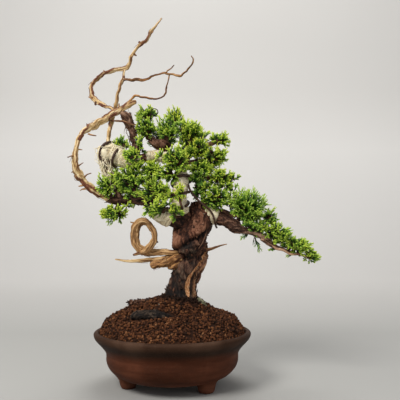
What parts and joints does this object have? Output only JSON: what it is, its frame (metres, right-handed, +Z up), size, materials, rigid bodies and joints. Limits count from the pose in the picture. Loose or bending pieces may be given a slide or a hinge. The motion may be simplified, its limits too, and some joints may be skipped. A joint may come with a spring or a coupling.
{
  "type": "itoigawa juniper bonsai",
  "caption": "Small semi-cascade juniper bonsai with curling deadwood, raffia-wrapped and wired branches and fine green foliage, planted in a round three-footed stoneware pot.",
  "frame": {"origin": "centre of the footprint of the whole object's box, on the surface that the pot's feet stand on", "axes": "+Z up; -Y is the tree's front; +X is the viewer's right, the side of the cascading branch"},
  "size_m": [0.249, 0.154, 0.3649],
  "materials": {
    "stoneware": "unglazed red-brown stoneware, matt, darker round the lip",
    "soil": "matt reddish-brown fired grains",
    "bark": "rough flaky red-brown to black-brown bark",
    "deadwood": "weathered tan bare wood with brown bark left in strips",
    "raffia": "off-white fibrous wrapping, matt",
    "wire": "dark brown satin training wire",
    "foliage": "bright to deep green scale leaves, matt to satin"
  },
  "bodies": {
    "root": {"pot": "stoneware", "soil": "soil", "trunk_and_branches": "bark", "surface_root_front": "bark", "surface_root_left": "bark", "deadwood_crown": "deadwood", "deadwood_ring": "deadwood", "deadwood_right_spike": "deadwood", "raffia_arch": "raffia", "raffia_middle": "raffia", "raffia_lower_left": "raffia", "raffia_cascade": "raffia", "raffia_elbow": "raffia", "wire_arch": "wire", "wire_elbow": "wire", "wire_cascade": "wire", "foliage_crown_tip_left": "foliage", "foliage_crown_tip_middle": "foliage", "foliage_crown_left": "foliage", "foliage_crown_left_low": "foliage", "foliage_crown_middle": "foliage", "foliage_crown_right": "foliage", "foliage_crown_right_low": "foliage", "foliage_crown_front_high": "foliage", "foliage_crown_front_low": "foliage", "foliage_crown_back_left": "foliage", "foliage_crown_back_right": "foliage", "foliage_crown_back_low": "foliage", "foliage_right_high": "foliage", "foliage_right_rising": "foliage", "foliage_right_low": "foliage", "foliage_right_middle": "foliage", "foliage_right_lower": "foliage", "foliage_inner_right": "foliage", "foliage_left_upright": "foliage", "foliage_left_knot": "foliage", "foliage_left_outer": "foliage", "foliage_left_middle": "foliage", "foliage_left_back": "foliage", "foliage_left_inner": "foliage", "foliage_left_inner_high": "foliage", "foliage_left_drooping": "foliage", "foliage_front_low": "foliage", "foliage_front_shoot": "foliage", "foliage_cascade_first": "foliage", "foliage_cascade_first_back": "foliage", "foliage_cascade_shoulder": "foliage", "foliage_cascade_second": "foliage", "foliage_cascade_third": "foliage", "foliage_cascade_tip": "foliage", "foliage_under_spray_1": "foliage", "foliage_under_spray_2": "foliage", "foliage_under_spray_3": "foliage", "foliage_under_spray_4": "foliage"}
  },
  "joints": []
}
